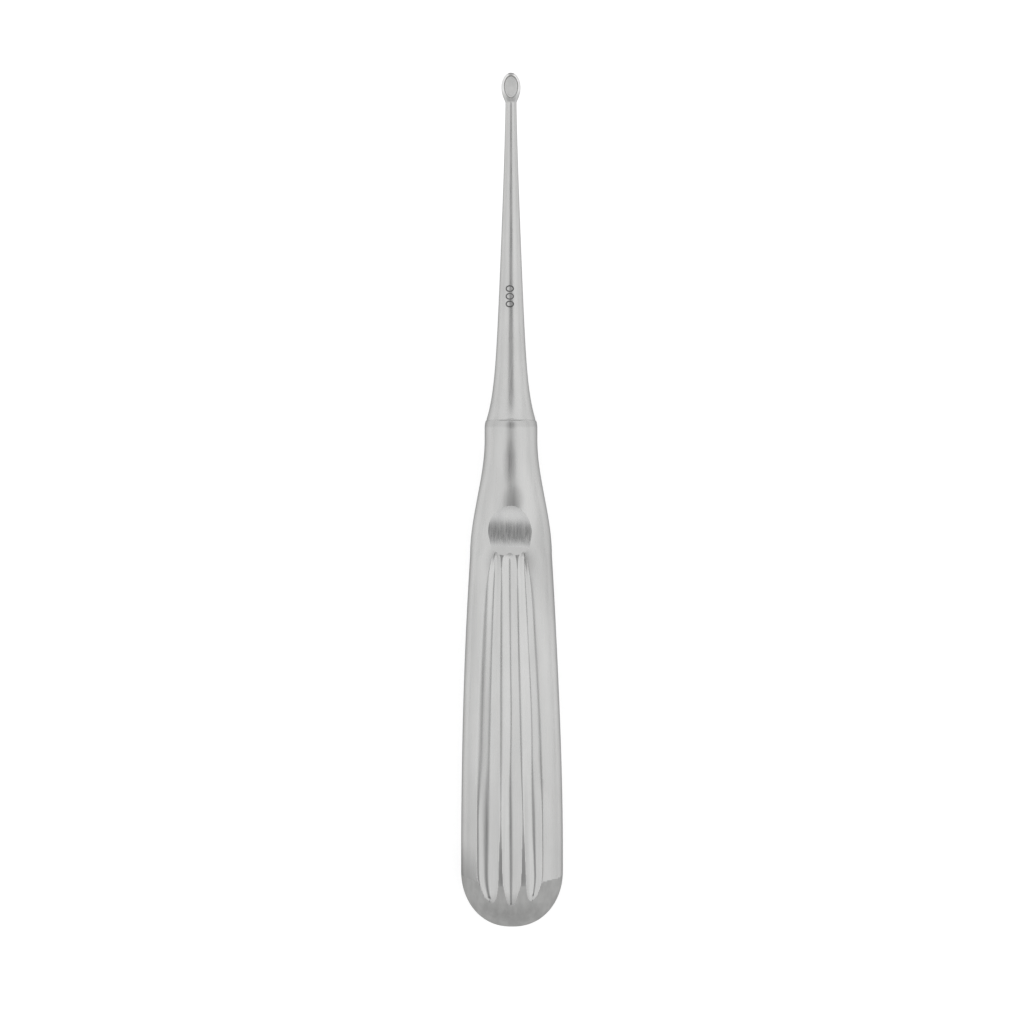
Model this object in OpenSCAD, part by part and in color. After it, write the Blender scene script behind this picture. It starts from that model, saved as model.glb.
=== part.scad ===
// Bone curette, 170 mm long, forged in one piece: a small round head ground open into an oval cup, a
// tapering shaft that flares to a shoulder, a round neck, and a flat fluted grip with a thumb rest ground
// into its front. It lies on its back: +Z is up and is the way the cup and thumb rest face, +Y points to the
// tip, and Z = 0 is the surface it lies on. The middle of its length is at Y = 0.

/* [Head and cup] */
// Width of the round head that the cup is ground into
head_w = 3.8; // [3.4:0.1:4.4]
// Length of the head, as a whole egg
head_l = 6; // [5.4:0.1:7]
// Height of the cup's rim plane above the shaft's axis
rim_height = 1.18; // [0.9:0.02:1.3]
// Tilt of the rim plane towards the tip, in degrees
rim_tilt = 4; // [0:1:8]
// Width of the flat left along the cutting edge
edge_land = 0.06; // [0.03:0.01:0.15]
// Depth of the hollow below the rim plane
cup_depth = 2.1; // [1.4:0.1:2.3]
// Size of the fillet between head and shaft
head_blend = 0.8; // [0.5:0.1:1]

/* [Shaft] */
// Distance from the tip to the shoulder
shoulder_at = 69.2; // [60:0.1:80]
// Length of the straight stretch behind the head, from the tip
straight_to = 6.6; // [6:0.1:8]
// Diameter behind the head
shaft_tip_d = 2.2; // [2:0.1:2.6]
// Diameter that the taper alone would reach at the shoulder
shaft_root_d = 7.06; // [6.2:0.1:7.6]
// Curve of the taper, 1 being a plain cone
taper_power = 1.25; // [1:0.05:1.5]
// Radius that the flare adds at the shoulder
flare_r = 1.4; // [1:0.05:1.6]
// Sharpness of the flare
flare_power = 12; // [8:1:16]

/* [Shoulder and neck] */
// Diameter of the neck
neck_d = 10.5; // [10.3:0.1:11.5]
// Length of the neck's plain cylinder
neck_len = 2.9; // [2.5:0.1:6]
// Length of the rounded edge between shoulder and neck
shoulder_round = 1; // [0.6:0.1:1.6]
// Height of that edge
shoulder_rise = 0.23; // [0.15:0.01:0.26]

/* [Grip] */
// Length of the grip, from the neck to the butt
grip_len = 96.9; // [88:0.5:110]
// Widest width of the grip, near the butt
grip_w = 20.27; // [18:0.1:23]
// Thickness of the grip
grip_t = 10.9; // [10.6:0.1:13]
// Width at the end of the swell behind the neck
swell_w = 16.3; // [14:0.1:17.5]
// Length of the swell behind the neck
swell_len = 22.9; // [20:0.1:26]
// Length over which the grip goes on widening behind the swell
widen_len = 58.7; // [45:0.1:60]
// Fullness of the grip's section, 2 being an ellipse
section_power = 2.25; // [2:0.05:3]
// Length of the butt's rounding as seen from the front
butt_len = 11; // [9:0.1:13]
// Length of the bevel ground on each face at the butt
bevel_len = 8.7; // [7:0.1:10]
// Tilt of that bevel, in degrees
bevel_tilt = 9; // [5:1:14]
// Distance from the butt's end at which the bevel turns into the rounded nose
nose_at = 5; // [3:0.1:6.5]
// Length of the nose's rounding
nose_len = 7.6; // [7:0.1:10]

/* [Flutes] */
// Number of flutes on each face
flutes = 3; // [2:1:3]
// Distance from the middle to the inner ridges at their upper ends
ridge_top = 1.5; // [1.2:0.05:1.8]
// Distance from the middle to the inner ridges near the butt
ridge_low = 2.2; // [1.8:0.05:2.6]
// Distance from the middle to the outer edges of the flutes at their upper ends
edge_top = 3.65; // [3:0.05:4.4]
// Distance from the middle to the outer edges near the butt
edge_low = 6.65; // [5.5:0.05:7.5]
// Distance from the neck to the upper ends of the flutes
flute_start = 22.4; // [21:0.1:26]
// Length over which the flutes fan out and deepen
fan_len = 60; // [40:1:64]
// Depth of the middle flute at its upper end
depth_top = 0.5; // [0.3:0.05:0.8]
// Depth of the middle flute near the butt
depth_low = 0.65; // [0.4:0.05:0.9]
// How much deeper the outer flutes are, because the face falls away there
outer_deeper = 1.65; // [1:0.05:2]
// Length of the rounded run-in at the upper ends
run_in = 4.5; // [2:0.1:6]
// Distance from the butt's end at which the flutes have run out
flute_stop = 3.7; // [2:0.1:6]
// Length of the run-out
run_out = 3.2; // [2:0.1:6]
// Roundness of the flutes' floors at their upper ends, 0 being a sharp V
floor_top = 0.22; // [0.1:0.02:0.6]
// Roundness of the flutes' floors near the butt
floor_low = 1.2; // [0.4:0.1:2]

/* [Thumb rest] */
// Distance from the neck to the deepest line of the thumb rest
thumb_at = 18.5; // [16:0.1:19]
// Length of the thumb rest
thumb_len = 10.9; // [8:0.1:12]
// Depth of the thumb rest below the grip's face
thumb_depth = 0.78; // [0.4:0.02:1.2]
// Distance from the neck at which the steeper facet at the thumb rest's end meets the face
facet_top = 23.1; // [22:0.1:24]
// Tilt of that facet, in degrees
facet_tilt = 16; // [10:1:22]

/* [Hidden] */

// Facets of the round parts
round_fn = 72;
// Overall length, and the height of the shaft's axis above the surface that the grip lies on
total_len = shoulder_at + shoulder_round + neck_len + grip_len;
axis_z = grip_t / 2;
tip_y = total_len / 2;
neck_end = total_len - grip_len;
neck_y = tip_y - neck_end;
neck_r = neck_d / 2;
// How far the grip reaches into the neck, and how much smaller it is there, so that it never pokes out
root_len = 0.6;
root_inset = 0.02;

// Small helpers: blend from a to b, an eased 0 to 1, and a maximum with a soft corner of size k
function mix(a, b, t) = a + (b - a) * t;
function clamp01(t) = max(0, min(1, t));
function ease(t) = let (c = clamp01(t)) c * c * (3 - 2 * c);
function soft_max(a, b, k) = max(a, b) + k / 4 * pow(max(k - abs(a - b), 0) / k, 2);

// Radius of head, shaft and shoulder at a distance s from the tip
function head_radius(s) = let (u = 1 - 2 * s / head_l) head_w / 2 * sqrt(max(1 - u * u, 0));
function shaft_radius(s) =
    let (t = clamp01((s - straight_to) / (shoulder_at - straight_to)))
    mix(shaft_tip_d, shaft_root_d, pow(t, taper_power)) / 2 + flare_r * pow(t, flare_power);
function front_radius(s) =
    s < head_l / 2 ? head_radius(s) : soft_max(head_radius(s), shaft_radius(s), head_blend);
function shoulder_radius(t) = neck_r - shoulder_rise * pow(1 - t, 2);

// Stations along the turned front: close together on the head and the flare
head_steps = 14;
shaft_steps = 30;
shoulder_steps = 4;
head_stations = [for (i = [1 : head_steps]) head_l / 2 * (1 - cos(90 * i / head_steps))];
blend_stations = [for (i = [1 : head_steps]) mix(head_l / 2, straight_to, i / head_steps)];
shaft_stations = [for (i = [1 : shaft_steps]) mix(straight_to, shoulder_at, sin(90 * i / shaft_steps))];

front_profile = concat(
    [[0, tip_y]],
    [for (s = concat(head_stations, blend_stations, shaft_stations)) [front_radius(s), tip_y - s]],
    [for (i = [0 : shoulder_steps])
        let (t = i / shoulder_steps) [shoulder_radius(t), tip_y - shoulder_at - t * shoulder_round]],
    [[neck_r, neck_y], [0, neck_y]]
);

// Head, shaft, shoulder and neck: one turned form round the shaft's axis
module turned_front() {
    translate([0, 0, axis_z]) rotate([-90, 0, 0]) rotate_extrude($fn = round_fn) polygon(front_profile);
}

// The cup: everything above the rim plane is ground off, and an egg-shaped hollow leaves a thin cutting edge
rim_share = sqrt(1 - pow(2 * rim_height / head_w, 2));
hollow_w = rim_share * head_w - 2 * edge_land;
hollow_l = rim_share * head_l - 2 * edge_land;
rim_back = 0.5;

module cup_cut() {
    translate([0, tip_y - head_l / 2, axis_z]) rotate([-rim_tilt, 0, 0]) translate([0, 0, rim_height]) {
        translate([-head_w, -hollow_l / 2 - rim_back, 0]) cube([2 * head_w, 2 * head_l, head_w]);
        scale([hollow_w / 2, hollow_l / 2, cup_depth]) sphere(r = 1, $fn = round_fn);
    }
}

// Half width, half thickness and fullness of the grip's section at a distance h from the neck, as if it had
// no butt
swell_end = neck_r - root_inset;
function side_half(h) =
    h < swell_len ? mix(swell_end, swell_w / 2, ease(h / swell_len))
    : mix(swell_w / 2, grip_w / 2, 1 - pow(1 - clamp01((h - swell_len) / widen_len), 1.8));
function face_half(h) = mix(swell_end, grip_t / 2, ease(h / swell_len));
function fullness(h) = mix(2, section_power, ease(h / swell_len));

// Share of that width and thickness that the butt leaves: from the front it is round in outline, from the
// side it is a bevel that ends in a round nose
function width_share(h) = pow(1 - pow(clamp01(1 - (grip_len - h) / butt_len), 2), 1 / 2.2);
bevel_slope = tan(bevel_tilt) / (grip_t / 2);
function bevel_share(left) = 1 - bevel_slope * max(bevel_len - left, 0);
function arc_share(left) = sqrt(1 - pow(clamp01(1 - left / nose_len), 2));
nose_share = bevel_share(nose_at) / arc_share(nose_at);
function face_share(h) =
    let (left = grip_len - h, bevel = bevel_share(left))
    left > nose_at ? bevel : min(bevel, nose_share * arc_share(left));

// Height of the plain section's face above the grip's middle plane, at a share u of the half width
function face_height(h, u) = pow(max(1 - pow(abs(u), fullness(h)), 0), 1 / fullness(h));

// Place across the face of a column k flutes away from the middle, before the butt narrows the grip
function before_flutes(h) = side_half(min(h, flute_start)) / side_half(flute_start);
function fanned(h) = clamp01((h - flute_start) / fan_len);
function ridge_half(h) = before_flutes(h) * mix(ridge_top, ridge_low, fanned(h));
function edge_half(h) = before_flutes(h) * mix(edge_top, edge_low, 1 - pow(1 - fanned(h), 1.9));
function across(h, k) =
    sign(k) * (2 * min(abs(k), 0.5) * ridge_half(h) + max(abs(k) - 0.5, 0) * (edge_half(h) - ridge_half(h)));

// Flutes: depth, run-in, run-out and roundness of the floor along the grip, and the rise of a flank at a
// share v of the way from the floor's middle to the ridge
function depth(h) = mix(depth_top, depth_low, ease((h - flute_start) / fan_len));
function opened(h) = sqrt(1 - pow(1 - clamp01((h - flute_start) / run_in), 2));
function closing(h) = 1 - pow(1 - clamp01((grip_len - flute_stop - h) / run_out), 2);
function floor_round(h) = mix(floor_top, floor_low, ease((h - 66) / 22));
function flank_rise(v, r) = (sqrt(v * v + r * r) - r) / (sqrt(1 + r * r) - r);

// Depth of the flutes under a column k flutes away from the middle
flute_offset = flutes % 2 == 1 ? 0 : 0.5;
function flute_at(h, k) =
    let (nearest = round(k - flute_offset) + flute_offset,
         deeper = mix(1, outer_deeper, min(abs(nearest), 1)),
         rise = flank_rise(2 * abs(k - nearest), floor_round(h)))
    max(depth(h) * deeper * (min(opened(h), closing(h)) - rise), 0);

// Columns round the section: evenly across each flute, and by angle on the lands
flank_steps = 8;
land_steps = 6;
flute_columns = [for (i = [0 : flutes * flank_steps]) i / flank_steps - flutes / 2];

// One point of the front face at a column k: the lower of the rounded butt and the fluted straight grip
function face_point(h, k) =
    let (u = across(h, k) / side_half(h), plain = face_half(h) * face_height(h, u))
    [u * side_half(h) * width_share(h), min(plain * face_share(h), plain - flute_at(h, k))];

// One point of a land, a share t of the way from the last flute's edge to the side
function land_point(h, t) =
    let (edge = across(h, flutes / 2) / side_half(h), a = mix(acos(pow(edge, fullness(h) / 2)), 0, t))
    [side_half(h) * width_share(h) * pow(cos(a), 2 / fullness(h)),
     face_half(h) * face_share(h) * pow(sin(a), 2 / fullness(h))];

// The front half of a ring, from the right side over the face to the left side, and the whole ring
function right_land(h) = [for (i = [land_steps : -1 : 1]) land_point(h, i / land_steps)];
function half_ring(h) = let (land = right_land(h), last = flutes * flank_steps) concat(
    land,
    [for (i = [last : -1 : 0]) face_point(h, flute_columns[i])],
    [for (i = [land_steps - 1 : -1 : 0]) [-land[i][0], land[i][1]]]
);
function ring(h) =
    let (front = half_ring(h), n = len(front), y = neck_y - h)
    concat(
        [for (p = front) [p[0], y, axis_z + p[1]]],
        [for (i = [n - 2 : -1 : 1]) [front[i][0], y, axis_z - front[i][1]]]
    );

// Stations of the rings along the grip: the root inside the neck, the swell, the flutes' ends and the butt
swell_rings = 11;
run_in_rings = 7;
body_rings = 15;
bevel_rings = 3;
butt_rings = 16;
butt_start = grip_len - butt_len;
bevel_start = grip_len - bevel_len;
last_ring = grip_len - 0.02;
stations = concat(
    [-root_len],
    [for (i = [0 : swell_rings - 1]) flute_start * i / swell_rings],
    [for (i = [0 : run_in_rings - 1]) flute_start + run_in * (1 - cos(90 * i / run_in_rings))],
    [for (i = [0 : body_rings - 1]) mix(flute_start + run_in, butt_start, i / body_rings)],
    [for (i = [0 : bevel_rings - 1]) mix(butt_start, bevel_start, i / bevel_rings)],
    [for (i = [0 : butt_rings]) mix(bevel_start, last_ring, sin(90 * i / butt_rings))]
);

// The grip: a closed skin over the rings, with a flat root and a small nose at the butt
module grip() {
    rings = [for (h = stations) ring(h)];
    n = len(rings[0]);
    m = len(rings);
    ends = [[0, neck_y - stations[0], axis_z], [0, neck_y - grip_len, axis_z]];
    points = concat([for (r = rings) for (p = r) p], ends);
    skin = [for (j = [0 : m - 2]) for (i = [0 : n - 1])
        let (a = j * n + i, b = j * n + (i + 1) % n) each [[a, a + n, b], [b, a + n, b + n]]];
    root = [for (i = [0 : n - 1]) [m * n, i, (i + 1) % n]];
    nose = [for (i = [0 : n - 1]) [m * n + 1, (m - 1) * n + (i + 1) % n, (m - 1) * n + i]];
    polyhedron(points = points, faces = concat(skin, root, nose), convexity = 6);
}

// The thumb rest: a wheel lies across the grip, ground in to the stated depth, less the block that it leaves
// standing at the lower end, whose upper face is the steeper facet
thumb_face = axis_z + face_half(thumb_at);
wheel_r = (pow(thumb_len / 2, 2) + pow(thumb_depth, 2)) / (2 * thumb_depth);
block_reach = 9;
block_deep = 6;

module thumb_cut() {
    difference() {
        translate([0, neck_y - thumb_at, thumb_face - thumb_depth + wheel_r])
            rotate([0, 90, 0]) cylinder(r = wheel_r, h = 2 * grip_w, center = true, $fn = 4 * round_fn);
        translate([0, neck_y - facet_top, axis_z + face_half(facet_top)]) rotate([-facet_tilt, 0, 0])
            translate([-2 * grip_w, -block_reach, -block_deep])
                cube([4 * grip_w, 2 * block_reach, block_deep]);
    }
}

module curette() {
    color("silver") union() {
        difference() {
            turned_front();
            cup_cut();
        }
        difference() {
            grip();
            thumb_cut();
        }
    }
}

curette();
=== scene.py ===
"""A forged bone curette lying on its back on a white table, seen from straight above.

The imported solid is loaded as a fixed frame. One fine skin, swept from the same sizes as the solid, stands in for
it: a turned front with the cup ground into its head, and a flat grip with three flutes on each face and a thumb
rest ground into the upper one. Sizes are in millimetres, in the solid's own frame: +Y points to the tip, +Z is up.
"""

from __future__ import annotations

import logging
import math
from dataclasses import dataclass, field
from enum import Enum

import bpy
import numpy as np
from mathutils import Matrix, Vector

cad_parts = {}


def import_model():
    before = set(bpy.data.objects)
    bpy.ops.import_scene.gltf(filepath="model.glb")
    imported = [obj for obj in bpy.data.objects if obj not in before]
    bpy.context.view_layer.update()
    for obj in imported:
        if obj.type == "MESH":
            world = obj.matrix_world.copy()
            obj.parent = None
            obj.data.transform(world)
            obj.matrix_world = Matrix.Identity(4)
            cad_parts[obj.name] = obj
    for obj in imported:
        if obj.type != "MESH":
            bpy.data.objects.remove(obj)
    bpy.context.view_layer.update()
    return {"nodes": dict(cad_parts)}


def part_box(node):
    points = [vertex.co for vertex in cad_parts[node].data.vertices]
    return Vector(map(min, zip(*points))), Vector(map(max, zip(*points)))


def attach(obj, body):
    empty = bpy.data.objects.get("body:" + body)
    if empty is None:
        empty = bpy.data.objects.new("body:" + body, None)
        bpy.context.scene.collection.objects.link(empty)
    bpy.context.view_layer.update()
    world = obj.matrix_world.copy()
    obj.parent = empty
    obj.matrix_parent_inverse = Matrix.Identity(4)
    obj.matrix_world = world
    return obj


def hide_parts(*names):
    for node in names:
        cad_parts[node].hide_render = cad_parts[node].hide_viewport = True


LOG = logging.getLogger("curette")
MM = 0.001
NODE = "curette"
WHITE = (1.0, 1.0, 1.0)
BLACK = (0.0, 0.0, 0.0)

# How near a face has to lie to a ground form to count as part of it: in millimetres, then as shares
NEAR_PLANE = 0.002
NEAR_WHEEL = 0.003
NEAR_PLAIN = 0.03
LEAST_CUT = 0.02
NEAR_HOLLOW = 0.02
SAME_WAY = 0.999
SAME_FACET = 0.99999

# How much of a finish's tone comes from its brushed lines and how much from its clouds
LINES_IN_TONE = 0.4
CLOUDS_IN_TONE = 0.6

Array = np.ndarray
Colour = tuple[float, float, float]


def mix(a: float | Array, b: float | Array, t: float | Array) -> float | Array:
    """Blend from a to b as t goes from 0 to 1."""
    return a + (b - a) * t


def clamp01(t: float | Array) -> Array:
    """Keep t between 0 and 1."""
    return np.clip(t, 0.0, 1.0)


def ease(t: float | Array) -> Array:
    """Rise smoothly from 0 to 1, level at both ends."""
    c = clamp01(t)
    return c * c * (3 - 2 * c)


def soft_max(a: float | Array, b: float | Array, size: float | Array) -> Array:
    """Take the larger of a and b, with a rounded corner where they cross.

    Args:
        a: one value or array.
        b: the other one.
        size: size of the rounded corner.

    Returns:
        The rounded maximum.
    """
    near = np.maximum(size - np.abs(a - b), 0) / size
    return np.maximum(a, b) + size / 4 * near * near


def soft_min(a: float | Array, b: float | Array, size: float | Array) -> Array:
    """Take the smaller of a and b, with a rounded corner of the given size where they cross."""
    return -soft_max(-a, -b, size)


@dataclass(frozen=True)
class Stretch:
    """A stretch along the instrument over which a size goes from one value to another."""

    start: float
    length: float

    def share(self, h: Array) -> Array:
        """How much of the change is done at each distance."""
        return ease((h - self.start) / self.length)


class Finish(Enum):
    """The finishes that the skin's faces wear, in the order of its material slots; the butt's darker colour is
    painted shade and the head's lighter colour a painted highlight.
    """

    SATIN = 0
    THUMB = 1
    HOLLOW = 2
    EDGE = 3
    BUTT = 4
    FLUTE = 5
    FACET = 6
    HEAD = 7


@dataclass(frozen=True)
class Front:
    """Head, shaft, shoulder and neck: one turned form round the shaft's axis."""

    head_w: float = 3.8
    head_l: float = 6.0
    head_blend: float = 0.8
    straight_to: float = 6.6
    shoulder_at: float = 69.2
    shaft_tip_d: float = 2.2
    shaft_root_d: float = 7.06
    taper_power: float = 1.25
    flare_r: float = 1.4
    flare_power: float = 12.0
    neck_d: float = 10.5
    neck_len: float = 2.2
    shoulder_round: float = 1.7
    shoulder_rise: float = 0.23
    groove_depth: float = 0.1
    groove_width: float = 0.13
    groove_lead: float = 0.3
    groove_reach: float = 0.24
    edge_gap: float = 0.004
    edge_crowding: float = 1.6
    head_rings: int = 34
    blend_rings: int = 30
    shaft_rings: int = 64
    shoulder_rings: int = 16
    neck_rings: int = 6
    groove_rings: int = 5

    @property
    def neck_end(self) -> float:
        """Distance from the tip to the end of the neck."""
        return self.shoulder_at + self.shoulder_round + self.neck_len

    def head_radius(self, s: Array) -> Array:
        """Radius of the egg-shaped head at a distance s from the tip."""
        u = 1 - 2 * s / self.head_l
        return self.head_w / 2 * np.sqrt(np.maximum(1 - u * u, 0))

    def shaft_radius(self, s: Array) -> Array:
        """Radius of the tapering, flaring shaft.

        Args:
            s: distances from the tip.

        Returns:
            The radius at each distance.
        """
        t = clamp01((s - self.straight_to) / (self.shoulder_at - self.straight_to))
        taper = mix(self.shaft_tip_d, self.shaft_root_d, t**self.taper_power) / 2
        return taper + self.flare_r * t**self.flare_power

    def radius(self, s: Array) -> Array:
        """Radius of the whole turned front.

        Args:
            s: distances from the tip.

        Returns:
            The radius at each distance.
        """
        head = self.head_radius(s)
        blended = soft_max(head, self.shaft_radius(s), self.head_blend)
        shaped = np.where(s < self.head_l / 2, head, blended)
        t = clamp01((s - self.shoulder_at) / self.shoulder_round)
        shoulder = self.neck_d / 2 - self.shoulder_rise * (1 - t) ** 2
        groove = self.groove_depth * np.exp(-(((s - self.shoulder_at) / self.groove_width) ** 2))
        return np.where(s > self.shoulder_at, shoulder, shaped) - groove

    def stations(self) -> Array:
        """Place the front's rings, close together where the form turns quickly.

        Returns:
            Their distances from the tip.
        """
        quarter = np.arange(1, self.head_rings + 1) / self.head_rings * math.pi / 2
        head = self.head_l / 2 * (1 - np.cos(quarter))
        blend = np.linspace(self.head_l / 2, self.straight_to, self.blend_rings + 1)[1:]
        run = np.sin(np.arange(1, self.shaft_rings + 1) / self.shaft_rings * math.pi / 2)
        shaft = mix(self.straight_to, self.shoulder_at - self.groove_lead, run)
        near = self.shoulder_at + np.linspace(-self.groove_reach, -self.edge_gap, self.groove_rings)
        crowded = np.linspace(0, 1, self.shoulder_rings) ** self.edge_crowding
        edge = self.shoulder_at + mix(self.edge_gap, self.shoulder_round, crowded)
        neck = np.linspace(edge[-1], self.neck_end, self.neck_rings + 1)[1:]
        return np.concatenate([head, blend, shaft, near, edge, neck])


@dataclass(frozen=True)
class Grip:
    """The flat grip: a swell behind the neck, a slowly widening body and a rounded butt, fluted on both faces.

    The stretches are distances from the neck, but ridge_settles and outer_deepens start at the flutes' upper ends.
    """

    # The plain form: overall sizes, the swell behind the neck, and how full the section is
    length: float = 96.9
    width: float = 20.27
    thickness: float = 10.9
    root_r: float = 5.25
    swell_w: float = 16.3
    swell_len: float = 22.9
    widen_len: float = 58.7
    widen_power: float = 1.8
    swell_power: float = 1.93
    section_power: float = 2.8
    fills_out: Stretch = Stretch(19.5, 5.0)
    drift: float = 0.2
    drifts: Stretch = Stretch(35.0, 45.0)

    # The butt: its outline, the bevel ground on it with a little waviness (size, rate, phase), and the round nose
    butt_len: float = 11.0
    butt_power: float = 2.2
    bevel_len: float = 8.3
    bevel_sweep: float = 0.02
    bevel_tilt: float = 7.5
    bevel_waves: tuple[tuple[float, float, float], ...] = ((0.09, 1.1, 0.6), (0.05, 3.7, 2.0))
    nose_at: float = 5.0
    nose_len: float = 7.6
    crease_round: float = 0.03

    # How the flutes lie: inner ridges and outer edges from the middle, and how far they drift to one side
    flutes: int = 3
    ridge_top: float = 1.58
    ridge_low: float = 2.3
    ridge_drift: tuple[float, float] = (-0.35, 0.06)
    edge_top: float = 3.9
    edge_low: float = 6.75
    edge_power: float = 1.8
    edge_drift: float = -0.45
    flute_start: float = 22.15
    fan_len: float = 60.0

    # How deep the flutes are, and the flat crests left between them as shares of their width
    depth_top: float = 0.54
    depth_low: float = 0.68
    outer_deeper: tuple[float, float] = (1.1, 1.14)
    outer_deepens: Stretch = Stretch(0.0, 15.0)
    crest: tuple[float, float] = (0.05, 0.11)
    crest_widens: Stretch = Stretch(66.0, 16.0)

    # How the flutes narrow to rounded ends: the share of width lost, and over what distance it fades
    arch: tuple[float, float] = (0.22, 2.2)
    outer_arch: tuple[float, float] = (0.45, 4.4)
    outer_arch_power: float = 1.3
    spoon: tuple[float, float] = (0.3, 4.6)
    run_in: float = 1.7
    run_in_power: float = 2.0
    flute_ends: tuple[float, ...] = (92.9, 93.6, 92.4)
    runs_out: tuple[float, ...] = (2.1, 1.5, 2.1)
    run_out_power: float = 1.3

    # Where each valley lies between its ridges, as a share, and how round floors and ridges are
    valleys_top: tuple[float, ...] = (0.55, 0.53, 0.56)
    valleys_low: tuple[float, ...] = (0.54, 0.42, 0.44)
    valleys_end: tuple[float, ...] = (0.52, 0.43, 0.52)
    valleys_wander: Stretch = Stretch(52.0, 20.0)
    valleys_return: Stretch = Stretch(78.0, 10.0)
    floor_top: float = 0.3
    floor_mid: float = 0.17
    floor_low: float = 1.6
    floor_sharpens: Stretch = Stretch(27.0, 14.0)
    opens_out: Stretch = Stretch(62.0, 24.0)
    ridge_round_top: float = 0.08
    ridge_round: float = 0.34
    ridge_round_low: float = 0.06
    ridge_settles: Stretch = Stretch(1.0, 7.0)
    edge_round: float = 0.34

    # The skin's rings, and how far they stay off what they close up to
    swell_rings: int = 34
    run_in_rings: int = 34
    run_in_zone: float = 5.0
    body_rings: int = 46
    butt_rings: int = 54
    butt_lead: float = 1.0
    bevel_lead: float = 0.4
    last_gap: float = 0.004

    def side_half(self, h: Array) -> Array:
        """Half width before the butt's rounding.

        Args:
            h: distances from the neck.

        Returns:
            The half width at each distance.
        """
        swell = mix(self.root_r, self.swell_w / 2, ease(h / self.swell_len))
        t = clamp01((h - self.swell_len) / self.widen_len)
        body = mix(self.swell_w / 2, self.width / 2, 1 - (1 - t) ** self.widen_power)
        return np.where(h < self.swell_len, swell, body)

    def face_half(self, h: Array) -> Array:
        """Half thickness at a distance h from the neck, before the butt's rounding."""
        return mix(self.root_r, self.thickness / 2, ease(h / self.swell_len))

    def fullness(self, h: Array) -> Array:
        """Power of the section's outline: 2 is an ellipse, more is squarer."""
        swell = mix(2.0, self.swell_power, ease(h / self.swell_len))
        return mix(swell, self.section_power, self.fills_out.share(h))

    def off_centre(self, h: Array) -> Array:
        """How far the grip's middle lies off the axis at a distance h from the neck."""
        return self.drift * self.drifts.share(h)

    def width_share(self, h: Array) -> Array:
        """Share of the width that the butt's rounding leaves at a distance h from the neck."""
        u = clamp01(1 - (self.length - h) / self.butt_len)
        return np.maximum(1 - u * u, 0) ** (1 / self.butt_power)

    def bevel_edge(self, x: Array) -> Array:
        """Distance from the butt's end at which the hand-ground bevel starts, a little uneven across the face."""
        wave = sum(size * np.sin(rate * x + phase) for size, rate, phase in self.bevel_waves)
        return self.bevel_len + self.bevel_sweep * x * x + wave

    def face_share(self, h: Array, x: Array) -> Array:
        """Share of the thickness that the butt's ground bevel and its round nose leave.

        Args:
            h: distances from the neck.
            x: places across the face.

        Returns:
            The share, 1 before the bevel and 0 at the end.
        """
        left = self.length - h + 0 * x
        slope = math.tan(math.radians(self.bevel_tilt)) / (self.thickness / 2)
        bevel = 1 - slope * (self.bevel_edge(x) - left)
        at_nose = 1 - slope * (self.bevel_edge(x) - self.nose_at)
        reach = at_nose / math.sqrt(1 - (1 - self.nose_at / self.nose_len) ** 2)
        u = clamp01(1 - left / self.nose_len)
        nose = reach * np.sqrt(np.maximum(1 - u * u, 0))
        shaped = np.where(left > self.nose_at, bevel, np.minimum(bevel, nose))
        return soft_min(np.ones_like(left), shaped, self.crease_round)

    def across(self, h: Array, k: Array) -> Array:
        """Place across the face of a column, before the butt's rounding.

        Args:
            h: distances from the neck.
            k: the column, counted in flutes from the middle.

        Returns:
            The place, a little off centre as the flutes were ground by hand.
        """
        before = self.side_half(np.minimum(h, self.flute_start)) / self.side_half(np.array(self.flute_start))
        along = clamp01((h - self.flute_start) / self.fan_len)
        ridge = mix(self.ridge_top, self.ridge_low, along)
        edge = mix(self.edge_top, self.edge_low, 1 - (1 - along) ** self.edge_power)
        drift = mix(*self.ridge_drift, along)
        inner = drift + 2 * ridge * np.clip(k, -0.5, 0.5)
        beyond = np.sign(k) * np.maximum(np.abs(k) - 0.5, 0)
        return before * (inner + beyond * (edge - ridge) + np.abs(beyond) * (self.edge_drift - drift))

    def flute_cut(self, h: Array, x: Array) -> Array:
        """Depth that the flutes take off the plain section, with rounded ridges.

        Args:
            h: distances from the neck, as a column.
            x: places across the face before the butt's rounding.

        Returns:
            The depth at each place, 0 on the lands.
        """
        down = ease((h - self.flute_start) / self.fan_len)
        depth = mix(self.depth_top, self.depth_low, down)
        low = self.opens_out.share(h)
        floor = mix(mix(self.floor_top, self.floor_mid, self.floor_sharpens.share(h)), self.floor_low, low)
        start = h - self.flute_start
        begun = np.maximum(start, 0)
        ridge_round = mix(self.ridge_round_top, self.ridge_round, self.ridge_settles.share(start))
        ridge_round = mix(ridge_round, self.ridge_round_low, low)
        crest = mix(*self.crest, self.crest_widens.share(h))
        outer = 1 - self.outer_arch[0] * np.exp(-((begun / self.outer_arch[1]) ** self.outer_arch_power))
        cut = np.zeros_like(x + h)
        for number, (flute_end, run_out) in enumerate(zip(self.flute_ends, self.runs_out)):
            middle = number - (self.flutes - 1) / 2
            end = flute_end - h
            begins = self.ramp(start / self.run_in, self.run_in_power)
            opened = np.minimum(begins, self.ramp(end / run_out, self.run_out_power))
            left, right = self.across(h, np.array(middle - 0.5)), self.across(h, np.array(middle + 0.5))
            at = mix(self.valleys_top[number], self.valleys_low[number], self.valleys_wander.share(h))
            at = mix(at, self.valleys_end[number], self.valleys_return.share(h))
            valley = mix(left, right, at)
            spoon = self.spoon[0] * np.exp(-np.maximum(end, 0) / self.spoon[1])
            width = 1 - crest - self.arch[0] * np.exp(-begun / self.arch[1]) - spoon
            to_left = (valley - left) * width * (outer if middle < 0 else 1)
            to_right = (right - valley) * width * (outer if middle > 0 else 1)
            v = np.where(x < valley, (valley - x) / to_left, (x - valley) / to_right)
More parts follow.
